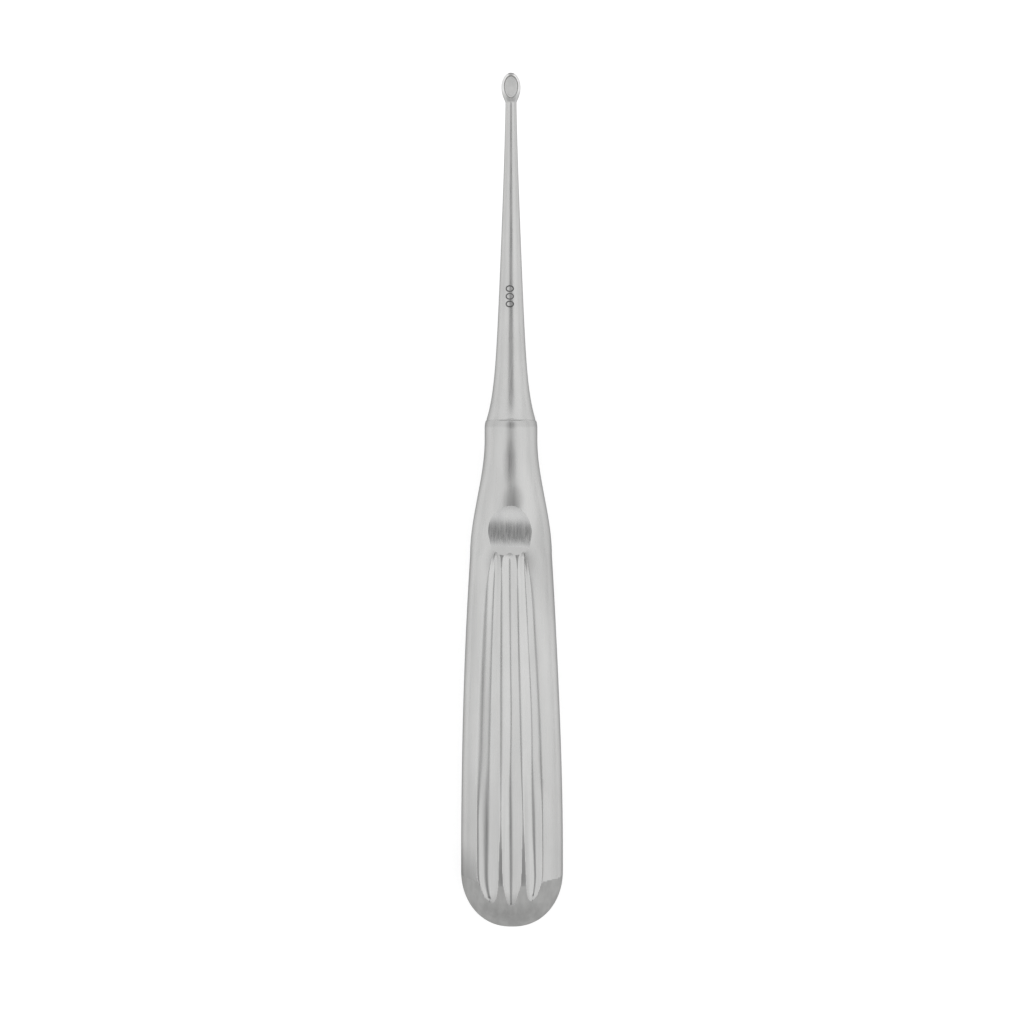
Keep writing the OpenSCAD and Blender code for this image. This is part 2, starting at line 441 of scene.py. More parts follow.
            rise = (np.sqrt(v * v + floor * floor) - floor) / (np.sqrt(1 + floor * floor) - floor)
            deeper = mix(*self.outer_deeper, self.outer_deepens.share(start)) if middle else 1.0
            outside = (x - valley) * middle > 0
            rounding = np.where(outside, np.maximum(ridge_round, self.edge_round * low), ridge_round)
            cut = soft_max(cut, depth * deeper * (opened - rise), rounding)
        return cut

    def ramp(self, t: Array, power: float) -> Array:
        """Deepening of a flute from its end: 0 there, full at t = 1, and falling on straight outside."""
        return np.where(t < 0, power * t, 1 - (1 - np.clip(t, 0, 1)) ** power)

    def face_height(self, h: Array, u: Array) -> Array:
        """Height of the plain section's face, as a share of the half thickness, at a share u of the half width."""
        power = self.fullness(h)
        return np.maximum(1 - np.abs(u) ** power, 0) ** (1 / power)

    def stations(self) -> Array:
        """Place the grip's rings, close together at the flutes' ends and the butt.

        Returns:
            Their distances from the neck.
        """
        swell = self.flute_start * np.sin(np.arange(1, self.swell_rings + 1) / self.swell_rings * math.pi / 2)
        run_in = self.flute_start + np.linspace(0, self.run_in_zone, self.run_in_rings + 1)[1:]
        butt_start = self.length - self.butt_len - self.butt_lead
        body = np.linspace(run_in[-1], butt_start, self.body_rings + 1)[1:]
        bevel = self.length - self.bevel_len + self.bevel_lead
        first = np.linspace(butt_start, bevel, self.butt_rings // 3 + 1)[1:]
        turn = np.sin(np.arange(1, self.butt_rings + 1) / self.butt_rings * math.pi / 2)
        butt = mix(bevel, self.length - self.last_gap, turn)
        return np.concatenate([swell, run_in, body, first, butt])


@dataclass(frozen=True)
class Dip:
    """A slight hollow that hand polishing left in the upper face."""

    at: float
    across: float
    length: float
    width: float
    depth: float

    def fall(self, h: Array, x: Array) -> Array:
        """Depth of the hollow at a place h from the neck and x from the middle."""
        return self.depth * np.exp(-(((h - self.at) / self.length) ** 2) - ((x - self.across) / self.width) ** 2)


@dataclass(frozen=True)
class Cup:
    """The oval cup ground into the head: a tilted rim plane and an egg-shaped hollow below it."""

    rim_height: float = 1.24
    rim_tilt: float = 4.0
    edge_land: float = 0.2
    depth: float = 2.1
    rim_back: float = 0.5
    hollow_steps: int = 96

    def hollow_half(self, front: Front) -> tuple[float, float]:
        """Half width and half length of the hollow in the rim plane, for a head of these sizes."""
        share = math.sqrt(1 - (2 * self.rim_height / front.head_w) ** 2)
        return share * front.head_w / 2 - self.edge_land, share * front.head_l / 2 - self.edge_land


@dataclass(frozen=True)
class ThumbRest:
    """The thumb rest: a trough left by a wheel that lies across the grip, and a flat facet that it runs out in."""

    at: float = 17.25
    length: float = 11.02
    depth: float = 1.13
    facet_tilt: float = 17.0
    facet_len: float = 9.0
    skew: float = 3.0
    roll: float = -1.5
    half_width: float = 14.0
    front_angle: float = 50.0
    arc_steps: int = 260

    @property
    def wheel_r(self) -> float:
        """Radius of the wheel that leaves a trough of this length and depth."""
        return ((self.length / 2) ** 2 + self.depth**2) / (2 * self.depth)

    @property
    def turn(self) -> Array:
        """Turn of the hand-held wheel from lying square across the grip."""
        skewed = Matrix.Rotation(-math.radians(self.skew), 3, "Z")
        return np.array(skewed @ Matrix.Rotation(math.radians(self.roll), 3, "Y"))

    @property
    def facet_normal(self) -> Array:
        """Which way the facet points."""
        tilt = math.radians(self.facet_tilt)
        return self.turn @ np.array([0, math.sin(tilt), math.cos(tilt)])

    def outline(self) -> Array:
        """Outline of what is ground away, from its lowest point and seen from the side.

        Returns:
            Rows of Y and Z: the top, the facet, and the wheel's arc up to the front.
        """
        angle = np.radians(np.linspace(self.facet_tilt, -self.front_angle, self.arc_steps))
        arc = np.stack([-np.sin(angle), 1 - np.cos(angle)], axis=1) * self.wheel_r
        tilt = math.radians(self.facet_tilt)
        facet_end = arc[0] + self.facet_len * np.array([-math.cos(tilt), math.sin(tilt)])
        top = 2 * self.depth + float(arc[:, 1].max())
        return np.vstack([[[arc[-1, 0], top], [facet_end[0], top], facet_end], arc])


@dataclass
class Curette:
    """The whole instrument as one closed skin."""

    tip_y: float
    axis_z: float
    front: Front = field(default_factory=Front)
    grip: Grip = field(default_factory=Grip)
    cup: Cup = field(default_factory=Cup)
    thumb: ThumbRest = field(default_factory=ThumbRest)
    dips: tuple[Dip, ...] = (
        Dip(1.5, 0.0, 3.6, 4.5, 0.16),
        Dip(12.5, 0.0, 6.5, 12.0, 0.4),
        Dip(12.0, -2.4, 3.2, 3.0, 0.14),
    )
    flute_columns: int = 30
    land_columns: int = 20
    column_bend: float = 0.4
    face_round: float = 0.04
    side_line: float = 0.9999
    sharp_angle: float = 14.0
    flutes_within: float = 0.85
    butt_side: float = 0.9
    butt_nose: float = 2.0
    before_end: float = 0.01

    @property
    def neck_y(self) -> float:
        """Place of the neck's end along Y."""
        return self.tip_y - self.front.neck_end

    @property
    def head_middle(self) -> Array:
        """Middle of the egg-shaped head."""
        return np.array([0, self.tip_y - self.front.head_l / 2, self.axis_z])

    @property
    def rim_turn(self) -> Array:
        """Turn of the cup's rim plane from level."""
        return np.array(Matrix.Rotation(-math.radians(self.cup.rim_tilt), 3, "X"))

    @property
    def thumb_low(self) -> Array:
        """Lowest point of the thumb rest's wheel."""
        face = self.axis_z + float(self.grip.face_half(np.array(self.thumb.at)))
        return np.array([0, self.neck_y - self.thumb.at, face - self.thumb.depth])

    def upper_half(self, side: Array, face: Array, h: Array) -> tuple[Array, Array]:
        """Widths and heights of the upper half of each ring, from the right side over the face to the left.

        Args:
            side: half width of each ring, as a column.
            face: half thickness of each ring, as a column.
            h: distance of each ring from the neck, as a column, 0 in front of it.

        Returns:
            X and height above the axis, one row for each ring.
        """
        grip = self.grip
        power = grip.fullness(h)
        k = np.linspace(grip.flutes / 2, -grip.flutes / 2, grip.flutes * self.flute_columns + 1)[None, :]
        k = k + self.column_bend / (2 * math.pi) * np.sin(2 * math.pi * k) * (-1) ** (grip.flutes + 1)
        fluted = grip.across(h, k) * side / grip.side_half(h)
        land = np.arange(1, self.land_columns + 1)[None, :] / self.land_columns
        right, left = (
            side * np.cos(np.arccos((edge / side) ** (power / 2)) * (1 - land)) ** (2 / power)
            for edge in (fluted[:, :1], -fluted[:, -1:])
        )
        x = np.concatenate([right[:, ::-1], fluted, -left], axis=1)
        rest = face * grip.face_height(h, x / side)
        z = soft_min(rest * grip.face_share(h, x), rest - grip.flute_cut(h, x), self.face_round)
        z = np.where(np.abs(x / side) > self.side_line, 0, z)
        return x * grip.width_share(h) + grip.off_centre(h), z

    def ring_points(self) -> tuple[Array, int]:
        """All the skin's points, ring after ring.

        Returns:
            The points as rows of X, Y and Z, and the number of points in a ring.
        """
        s = self.front.stations()
        h = self.grip.stations()
        front_r = self.front.radius(s)
        side = np.concatenate([front_r, self.grip.side_half(h)])[:, None]
        face = np.concatenate([front_r, self.grip.face_half(h)])[:, None]
        along = np.concatenate([0 * s, h])[:, None]
        y = self.tip_y - np.concatenate([s, self.front.neck_end + h])
        x, z = self.upper_half(side, face, along)
        from_neck = (self.neck_y - y)[:, None]
        dipped = z - sum(dip.fall(from_neck, x) for dip in self.dips) * np.where(z > 0, z / face, 0)
        x = np.concatenate([x, x[:, -2:0:-1]], axis=1)
        z = np.concatenate([dipped, -z[:, -2:0:-1]], axis=1)
        count = x.shape[1]
        points = np.stack([x, np.repeat(y[:, None], count, axis=1), self.axis_z + z], axis=2)
        return points.reshape(-1, 3), count

    def skin_mesh(self) -> bpy.types.Mesh:
        """Sweep the rings into one closed mesh, with a fan at the tip and at the butt.

        Returns:
            The mesh, before anything is ground into it.
        """
        points, count = self.ring_points()
        rings = len(points) // count
        butt_y = self.neck_y - self.grip.length
        points = np.vstack([points, [[0, self.tip_y, self.axis_z], [self.grip.drift, butt_y, self.axis_z]]])
        first = np.arange(count)
        following = (first + 1) % count
        start = np.arange(rings - 1)[:, None] * count
        quads = np.stack([start + first, start + following, start + count + following, start + count + first], axis=2)
        faces = quads.reshape(-1, 4).tolist()
        tip, butt, last = rings * count, rings * count + 1, (rings - 1) * count
        faces += [[tip, int(b), int(a)] for a, b in zip(first, following)]
        faces += [[butt, int(last + a), int(last + b)] for a, b in zip(first, following)]
        mesh = bpy.data.meshes.new("curette_skin")
        mesh.from_pydata((points * MM).tolist(), [], faces)
        mesh.validate()
        return mesh

    def thumb_cutter(self) -> bpy.types.Object:
        """Make what the thumb rest takes away: its outline drawn out across the grip.

        Returns:
            The cutter.
        """
        thumb = self.thumb
        outline = thumb.outline()
        n = len(outline)
        flat = np.column_stack([np.zeros(n), outline])
        side = np.array([thumb.half_width, 0, 0])
        points = np.vstack([flat - side, flat + side]) @ thumb.turn.T + self.thumb_low
        faces = [[i, (i + 1) % n, n + (i + 1) % n, n + i] for i in range(n)]
        faces += [list(range(n - 1, -1, -1)), list(range(n, 2 * n))]
        return new_object("thumb_cutter", points * MM, faces)

    def hollow_cutter(self) -> bpy.types.Object:
        """Make what the cup's grinding takes away below the rim plane: a fine egg-shaped form.

        Returns:
            The cutter.
        """
        half_w, half_l = self.cup.hollow_half(self.front)
        steps = self.cup.hollow_steps
        theta = np.arange(steps) / steps * 2 * math.pi
        phi = np.arange(1, steps // 2) / (steps // 2) * math.pi
        ring = np.stack([np.cos(theta) * half_w, np.sin(theta) * half_l, 0 * theta], axis=1)
        rows = [ring * math.sin(p) + np.array([0, 0, math.cos(p) * self.cup.depth]) for p in phi]
        points = np.vstack([*rows, [[0, 0, self.cup.depth], [0, 0, -self.cup.depth]]])
        faces = []
        for j in range(len(phi) - 1):
            for i in range(steps):
                k = (i + 1) % steps
                faces.append([j * steps + i, (j + 1) * steps + i, (j + 1) * steps + k, j * steps + k])
        top, bottom, last = len(phi) * steps, len(phi) * steps + 1, (len(phi) - 1) * steps
        faces += [[top, i, (i + 1) % steps] for i in range(steps)]
        faces += [[bottom, last + (i + 1) % steps, last + i] for i in range(steps)]
        return new_object("hollow_cutter", self.in_rim_frame(points) * MM, faces)

    def rim_cutter(self) -> bpy.types.Object:
        """Make what is ground off above the rim plane, as a block.

        Returns:
            The cutter.
        """
        w, top = 2 * self.front.head_w, self.front.head_w
        back = -self.cup.hollow_half(self.front)[1] - self.cup.rim_back
        front = back + 2 * self.front.head_l
        corners = [(x, y, z) for x in (-w, w) for y in (back, front) for z in (0, top)]
        faces = [[0, 1, 3, 2], [4, 6, 7, 5], [0, 4, 5, 1], [2, 3, 7, 6], [0, 2, 6, 4], [1, 5, 7, 3]]
        return new_object("rim_cutter", self.in_rim_frame(np.array(corners, float)) * MM, faces)

    def in_rim_frame(self, points: Array) -> Array:
        """Carry points from the rim plane's own frame, with Z along its normal, to the instrument's."""
        lifted = points + np.array([0, 0, self.cup.rim_height])
        return lifted @ self.rim_turn.T + self.head_middle

    def build(self) -> bpy.types.Object:
        """Make the skin, grind the cup and thumb rest into it, and sort its faces by finish.

        Returns:
            The finished object, without materials.
        """
        skin = bpy.data.objects.new("curette_skin", self.skin_mesh())
        bpy.context.scene.collection.objects.link(skin)
        for cutter in (self.rim_cutter(), self.hollow_cutter(), self.thumb_cutter()):
            cut_away(skin, cutter)
        skin.data.materials.clear()
        self.sort_faces(skin.data)
        skin.data.shade_smooth()
        skin.data.set_sharp_from_angle(angle=math.radians(self.sharp_angle))
        return skin

    def dress(self, skin: bpy.types.Object, effects: Effects) -> None:
        """Give the skin its finishes, hang it on the root body, and hide the solid that it stands in for.

        Args:
            skin: the finished skin.
            effects: the shared node groups.
        """
        for finish in Finish:
            skin.data.materials.append(FINISHES[finish].material(effects))
        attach(skin, "root")
        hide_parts(NODE)
        LOG.info("skin has %d faces", len(skin.data.polygons))

    def sort_faces(self, mesh: bpy.types.Mesh) -> None:
        """Give each face the slot of its finish, by where it lies and which way it points.

        Args:
            mesh: the skin's mesh, with everything ground into it.
        """
        count = len(mesh.polygons)
        centre = np.empty(count * 3)
        normal = np.empty(count * 3)
        mesh.polygons.foreach_get("center", centre)
        mesh.polygons.foreach_get("normal", normal)
        centre = centre.reshape(-1, 3) / MM
        normal = normal.reshape(-1, 3)
        slots = np.zeros(count, dtype=np.int32)
        tilt = self.rim_turn
        local = (centre - self.head_middle) @ tilt
        local[:, 2] -= self.cup.rim_height
        half_w, half_l = self.cup.hollow_half(self.front)
        egg = (local / np.array([half_w, half_l, self.cup.depth])) ** 2
        near_head = centre[:, 1] > self.tip_y - self.front.head_l
        on_rim = near_head & (np.abs(local[:, 2]) < NEAR_PLANE) & (normal @ tilt[:, 2] > SAME_WAY)
        slots[on_rim] = Finish.EDGE.value
        in_hollow = near_head & (np.abs(egg.sum(axis=1) - 1) < NEAR_HOLLOW) & (local[:, 2] < -NEAR_PLANE)
        # The head's outer faces get the lighter head steel, whose colour is a painted highlight.
        slots[near_head & ~on_rim & ~in_hollow] = Finish.HEAD.value
        slots[in_hollow & ~on_rim] = Finish.HOLLOW.value
        thumb = self.thumb
        from_low = (centre - self.thumb_low) @ thumb.turn
        reach = np.hypot(from_low[:, 1], from_low[:, 2] - thumb.wheel_r)
        slots[np.abs(reach - thumb.wheel_r) < NEAR_WHEEL] = Finish.THUMB.value
        on_facet = (normal @ thumb.facet_normal > SAME_FACET) & (np.abs(from_low[:, 1]) < thumb.facet_len)
        slots[on_facet] = Finish.FACET.value
        slots[self.in_flutes(centre) & (slots == Finish.SATIN.value)] = Finish.FLUTE.value
        # The butt's faces get the darker butt steel, whose colour is painted shade.
        slots[self.on_butt(centre)] = Finish.BUTT.value
        mesh.polygons.foreach_set("material_index", slots)

    def on_grip(self, centre: Array) -> tuple[Array, Array]:
        """Place faces on the grip as it is before the butt's rounding.

        Args:
            centre: middles of the faces.

        Returns:
            The distance from the neck and the place across of each face.
        """
        h = np.clip(self.neck_y - centre[:, 1], 0, self.grip.length - self.before_end)
        return h, (centre[:, 0] - self.grip.off_centre(h)) / self.grip.width_share(h)

    def in_flutes(self, centre: Array) -> Array:
        """Tell which faces lie between the outer edges of the flutes.

        Args:
            centre: middles of the faces.

        Returns:
            True for each face in a flute or on a ridge.
        """
        h, x = self.on_grip(centre)
        cut = self.grip.flute_cut(h, x)
        return (cut > LEAST_CUT) & (np.abs(x) < self.flutes_within * self.grip.side_half(h))

    def on_butt(self, centre: Array) -> Array:
        """Tell which faces lie on the ground butt, outside the flutes' ends.

        Args:
            centre: middles of the faces.

        Returns:
            True for each face on the butt.
        """
        grip = self.grip
        h, x = self.on_grip(centre)
        u = np.clip(x / grip.side_half(h), -1, 1)
        ground = grip.face_half(h) * grip.face_height(h, u) * grip.face_share(h, x)
        level = np.abs(np.abs(centre[:, 2] - self.axis_z) - ground) < NEAR_PLAIN
        past_edge = grip.length - h < grip.bevel_edge(x)
        return past_edge & (level | (np.abs(u) > self.butt_side) | (grip.length - h < self.butt_nose))


def new_object(name: str, points: Array, faces: list[list[int]]) -> bpy.types.Object:
    """Make a mesh object from points in metres and link it to the scene.

    Args:
        name: name of the object and its mesh.
        points: rows of X, Y and Z.
        faces: corner numbers of each face.

    Returns:
        The new object.
    """
    mesh = bpy.data.meshes.new(name)
    mesh.from_pydata(points.tolist(), [], faces)
    mesh.validate()
    obj = bpy.data.objects.new(name, mesh)
    bpy.context.scene.collection.objects.link(obj)
    return obj


def cut_away(body: bpy.types.Object, cutter: bpy.types.Object) -> None:
    """Take the cutter's form out of a body, for good, and delete the cutter.

    Args:
        body: the object to cut.
        cutter: the closed object whose form is taken away.
    """
    cut = body.modifiers.new("cut", "BOOLEAN")
    cut.operation = "DIFFERENCE"
    cut.solver = "MANIFOLD"
    cut.object = cutter
    bpy.context.view_layer.update()
    evaluated = body.evaluated_get(bpy.context.evaluated_depsgraph_get())
    mesh = bpy.data.meshes.new_from_object(evaluated)
    body.modifiers.remove(cut)
    old = body.data
    body.data = mesh
    mesh.name = old.name
    bpy.data.meshes.remove(old)
    bpy.data.objects.remove(cutter)


@dataclass
class SizeMark:
    """The size mark on the shaft: three plain zeros, one behind the other, as thin dark oxide on the steel."""

    curette: Curette
    from_tip: tuple[float, float, float] = (43.08, 44.61, 46.14)
    off_axis: float = -0.25
    across: float = 1.71
    along: float = 1.36
    stroke: float = 0.25
    proud: float = 0.012
    sunk: float = 0.02
    steps: int = 56

    def zero(self, from_tip: float) -> tuple[Array, list[list[int]]]:
        """One zero, bent over the round shaft as a thin closed ring.

        Args:
            from_tip: distance of its middle from the tip.

        Returns:
            Its points in millimetres and its faces.
        """
        turn = np.arange(self.steps) / self.steps * 2 * math.pi
        loops = []
        for inset, lift in ((0, -self.sunk), (0, self.proud), (self.stroke, self.proud), (self.stroke, -self.sunk)):
            x = self.off_axis + np.cos(turn) * (self.across / 2 - inset)
            s = from_tip + np.sin(turn) * (self.along / 2 - inset)
            r = self.curette.front.radius(s)
            angle = x / r
            height = self.curette.axis_z + np.cos(angle) * (r + lift)
            loops.append(np.stack([np.sin(angle) * (r + lift), self.curette.tip_y - s, height], axis=1))
        n = self.steps
        faces = [[a * n + i, b * n + i, b * n + (i + 1) % n, a * n + (i + 1) % n]
                 for a, b in ((0, 1), (1, 2), (2, 3), (3, 0)) for i in range(n)]
        return np.vstack(loops), faces

    def build(self) -> bpy.types.Object:
        """Make the three zeros as one piece.

        Returns:
            The finished object, without a material.
        """
        points, faces = [], []
        for from_tip in self.from_tip:
            ring, ring_faces = self.zero(from_tip)
            start = sum(len(p) for p in points)
            points.append(ring)
            faces += [[start + i for i in face] for face in ring_faces]
        return new_object("size_mark", np.vstack(points) * MM, faces)

    def dress(self, mark: bpy.types.Object, effects: Effects) -> None:
        """Give the mark its oxide, and say what it rides on.

        Args:
            mark: the finished mark.
            effects: the shared node groups.
        """
        mark.data.materials.append(MarkOxide().material(effects))
        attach(mark, "root")
        LOG.info("size mark has %d faces", len(mark.data.polygons))


class Graph:
    """A node tree under construction, with short calls that add nodes and join them."""

    def __init__(self, tree: bpy.types.NodeTree) -> None:
        """Start on an empty tree."""
        self.tree = tree
        tree.nodes.clear()

    def node(self, kind: str, settings: dict | None = None, inputs: dict | None = None) -> bpy.types.Node:
        """Add a node.

        Args:
            kind: the node's type name.
            settings: properties to set on it.
            inputs: values or output sockets, by the input's name or number.

        Returns:
            The new node.
        """
        made = self.tree.nodes.new(kind)
        for key, value in (settings or {}).items():
            setattr(made, key, value)
        for key, value in (inputs or {}).items():
            self.feed(made.inputs[key], value)
        return made

    def feed(self, socket: bpy.types.NodeSocket, value: object) -> None:
        """Join an output to an input socket, or set the socket's own value.

        Args:
            socket: the input socket.
            value: an output socket, or a plain value.
        """
        if isinstance(value, bpy.types.NodeSocket):
            self.tree.links.new(value, socket)
        else:
            socket.default_value = value

    def math(self, operation: str, a: object, b: object = 0.0, clamp: bool = False) -> bpy.types.NodeSocket:
        """Join two values with a Math node, and return its result."""
        made = self.node("ShaderNodeMath", {"operation": operation, "use_clamp": clamp}, {0: a, 1: b})
        return made.outputs[0]

    def span(
        self, value: object, low: float, high: float, to: tuple[float, float] = (0.0, 1.0)
    ) -> bpy.types.NodeSocket:
        """Map a value smoothly from one span to another, level beyond both ends.

        Args:
            value: what is mapped.
            low: lower end of the span that it comes from.
            high: upper end of that span.
            to: both ends of the span that it goes to.

        Returns:
            The mapped value's socket.
        """
        made = self.node(
            "ShaderNodeMapRange",
            {"interpolation_type": "SMOOTHSTEP"},
            {"Value": value, "From Min": low, "From Max": high, "To Min": to[0], "To Max": to[1]},
        )
        return made.outputs["Result"]

    def blend(self, factor: object, a: object, b: object) -> bpy.types.NodeSocket:
        """Blend two colours.

        Args:
            factor: how much of the second colour there is.
            a: the first colour.
            b: the second colour.

        Returns:
            The blended colour's socket.
        """
        made = self.node("ShaderNodeMix", {"data_type": "RGBA"})
        self.feed(made.inputs[0], factor)
        self.feed(made.inputs[6], a)
        self.feed(made.inputs[7], b)
        return made.outputs[2]


def rgba(colour: Colour) -> tuple[float, float, float, float]:
    """A colour with full alpha."""
    return (*colour, 1.0)


def brushing_group() -> bpy.types.NodeTree:
    """Build the fine lines that brushing along the instrument leaves: a height and a tone.

    Returns:
        The node group.
    """
    group = bpy.data.node_groups.new("brushing", "ShaderNodeTree")
    face = group.interface
    face.new_socket("Across", in_out="INPUT", socket_type="NodeSocketFloat").default_value = 3000.0
    face.new_socket("Along", in_out="INPUT", socket_type="NodeSocketFloat").default_value = 120.0
    face.new_socket("Height", in_out="OUTPUT", socket_type="NodeSocketFloat")
    face.new_socket("Tone", in_out="OUTPUT", socket_type="NodeSocketFloat")
    graph = Graph(group)
    given = graph.node("NodeGroupInput")
    place = graph.node("ShaderNodeTexCoord").outputs["Object"]
    scale = graph.node(
        "ShaderNodeCombineXYZ",
        inputs={"X": given.outputs["Across"], "Y": given.outputs["Along"], "Z": given.outputs["Across"]},
    )
    stretched = graph.node("ShaderNodeVectorMath", {"operation": "MULTIPLY"}, {0: place, 1: scale.outputs[0]})
    lines = graph.node("ShaderNodeTexNoise", inputs={"Vector": stretched.outputs[0], "Scale": 1.0, "Detail": 3.0})
    out = graph.node("NodeGroupOutput")
    graph.feed(out.inputs["Height"], lines.outputs["Fac"])
    graph.feed(out.inputs["Tone"], graph.span(lines.outputs["Fac"], 0.3, 0.7))
    return group


def mottle_group() -> bpy.types.NodeTree:
    """Build the soft cloudy unevenness of a hand-polished surface: a tone and a height.

    Returns:
        The node group.
    """
    group = bpy.data.node_groups.new("mottle", "ShaderNodeTree")
    face = group.interface
    face.new_socket("Scale", in_out="INPUT", socket_type="NodeSocketFloat").default_value = 300.0
    face.new_socket("Tone", in_out="OUTPUT", socket_type="NodeSocketFloat")
    face.new_socket("Height", in_out="OUTPUT", socket_type="NodeSocketFloat")
    graph = Graph(group)
    given = graph.node("NodeGroupInput")
    place = graph.node("ShaderNodeTexCoord").outputs["Object"]
    drawn = graph.node("ShaderNodeMapping", inputs={"Vector": place, "Scale": (1.0, 0.35, 1.0)})
    clouds = graph.node(
        "ShaderNodeTexNoise",
        inputs={"Vector": drawn.outputs[0], "Scale": given.outputs["Scale"], "Detail": 4.0, "Roughness": 0.55},
    )
    out = graph.node("NodeGroupOutput")
    graph.feed(out.inputs["Tone"], graph.span(clouds.outputs["Fac"], 0.3, 0.7))
    graph.feed(out.inputs["Height"], clouds.outputs["Fac"])
    return group


@dataclass(frozen=True)
class Effects:
    """The node groups that the finishes share."""

    brushing: bpy.types.NodeTree
    mottle: bpy.types.NodeTree


@dataclass(frozen=True)
class Lines:
    """Brushed lines: how fine they are across and along the instrument, and how high."""

    across: float
    along: float
    height: float


@dataclass(frozen=True)
class Clouds:
    """Cloudy unevenness: how fine it is and how high."""

    scale: float
    height: float


@dataclass(frozen=True)
class ShadeAndPolishPatch:
    """A soft patch of painted shade that stands in for a dark reflection, partly for a polish mark: its middle and
    half size on the instrument in millimetres, and how much darker.
    """

    x: float
    y: float
    half_x: float
    half_y: float
    darker: float


@dataclass(frozen=True)
class SteelFinish:
    """One finish of the bare stainless steel, with any patches of painted shade in its colour."""

    name: str
    light: Colour
    dark: Colour
    roughness: float
    roughness_spread: float
    brushed: Lines
    mottled: Clouds
    grazing: float = 0.42
    metallic: float = 1.0
    butt_polish: float = 0.0
    polish_from: float = -50.0
    polish_full: float = -68.0
    # Soft patches of painted shade darken the base colour where dark reflections show; some are partly polish marks.
    shade_and_polish_patches: tuple[ShadeAndPolishPatch, ...] = ()
    shade_patch_edge: tuple[float, float] = (0.1, 1.0)

    def material(self, effects: Effects) -> bpy.types.Material:
        """Build the finish as a material.

        Args:
            effects: the shared node groups.

        Returns:
            The new material.
        """
        made = bpy.data.materials.new(self.name)
        made.use_nodes = True
        graph = Graph(made.node_tree)
        fineness = {"Across": self.brushed.across, "Along": self.brushed.along}
        lines = graph.node("ShaderNodeGroup", {"node_tree": effects.brushing}, fineness)
        clouds = graph.node("ShaderNodeGroup", {"node_tree": effects.mottle}, {"Scale": self.mottled.scale})
        tone = graph.math("ADD", graph.math("MULTIPLY", lines.outputs["Tone"], LINES_IN_TONE),
                          graph.math("MULTIPLY", clouds.outputs["Tone"], CLOUDS_IN_TONE))
        colour = graph.blend(tone, rgba(self.dark), rgba(self.light))
        spot = graph.node("ShaderNodeSeparateXYZ", inputs={0: graph.node("ShaderNodeTexCoord").outputs["Object"]})
        # Paint each patch's shade into the base colour, darkest at its middle. It stands in for a dark reflection and
        # partly for a polish mark.
        for shade_patch in self.shade_and_polish_patches:
            x = graph.math("DIVIDE", graph.math("SUBTRACT", spot.outputs["X"], shade_patch.x * MM), shade_patch.half_x * MM)
            y = graph.math("DIVIDE", graph.math("SUBTRACT", spot.outputs["Y"], shade_patch.y * MM), shade_patch.half_y * MM)
            away = graph.math("ADD", graph.math("MULTIPLY", x, x), graph.math("MULTIPLY", y, y))
            shade = graph.span(away, *self.shade_patch_edge, (shade_patch.darker, 0.0))
            colour = graph.blend(shade, colour, rgba(BLACK))
        rough = graph.math("MULTIPLY_ADD", lines.outputs["Tone"], self.roughness_spread)
        rough.node.inputs[2].default_value = self.roughness - self.roughness_spread / 2
        if self.butt_polish:
            zone = self.polish_from * MM, self.polish_full * MM
            near_butt = graph.span(spot.outputs["Y"], *zone, (0.0, self.butt_polish))
            rough = graph.math("SUBTRACT", rough, near_butt)
        height = graph.math("ADD", graph.math("MULTIPLY", lines.outputs["Height"], self.brushed.height),
                            graph.math("MULTIPLY", clouds.outputs["Height"], self.mottled.height))
        bump = graph.node("ShaderNodeBump", inputs={"Height": height, "Distance": MM, "Strength": 1.0})
        steel = graph.node("ShaderNodeBsdfPrincipled", inputs={
            "Base Color": colour, "Roughness": rough, "Normal": bump.outputs[0], "Metallic": self.metallic,
            "Specular Tint": rgba((self.grazing,) * 3),
        })
        out = graph.node("ShaderNodeOutputMaterial")
        graph.feed(out.inputs["Surface"], steel.outputs[0])
        return made


# The satin steel's patches are painted shade for dark reflections on the butt, about the thumb rest, on the neck and
# at the shoulder; some are partly polish marks.
SATIN = SteelFinish(
    "satin_steel", (0.56, 0.56, 0.555), (0.50, 0.50, 0.495), 0.3, 0.08, Lines(2600, 90, 0.0006), Clouds(260, 0.02),
    shade_and_polish_patches=(
        ShadeAndPolishPatch(-11.0, -81.0, 8.0, 14.0, 0.38),
        ShadeAndPolishPatch(7.5, -12.0, 5.0, 13.0, 0.1),
        ShadeAndPolishPatch(0.0, -12.5, 5.8, 6.0, 0.18),
        ShadeAndPolishPatch(0.0, -76.0, 6.6, 12.0, 0.34),
        ShadeAndPolishPatch(0.0, -84.0, 18.0, 42.0, 0.1),
        ShadeAndPolishPatch(0.5, 0.0, 2.6, 3.4, 0.17),
        ShadeAndPolishPatch(-0.3, 7.0, 1.6, 5.4, 0.11),
        ShadeAndPolishPatch(0.0, 15.1, 16.0, 0.95, 0.1),
    ),
)
GROUND = SteelFinish(
    "ground_steel", (0.58, 0.58, 0.575), (0.48, 0.48, 0.48), 0.27, 0.08, Lines(5000, 60, 0.0015), Clouds(500, 0.004)
)
HOLLOW = SteelFinish(
    "hollow_steel", (0.8, 0.8, 0.795), (0.73, 0.73, 0.725), 0.6, 0.1, Lines(3000, 900, 0.002), Clouds(900, 0.004),
    metallic=0.1,
)
EDGE = SteelFinish(
    "edge_steel", (0.66, 0.66, 0.65), (0.6, 0.6, 0.59), 0.25, 0.05, Lines(3000, 900, 0.001), Clouds(900, 0.002)
)
# The butt's darker colour is painted shade for the dim reflection that its rounded, bevelled faces show; its higher
# roughness is its ground finish.
BUTT = SteelFinish(
    "butt_steel", (0.47, 0.47, 0.465), (0.365, 0.365, 0.36), 0.58, 0.1, Lines(3000, 300, 0.002), Clouds(700, 0.012)
)
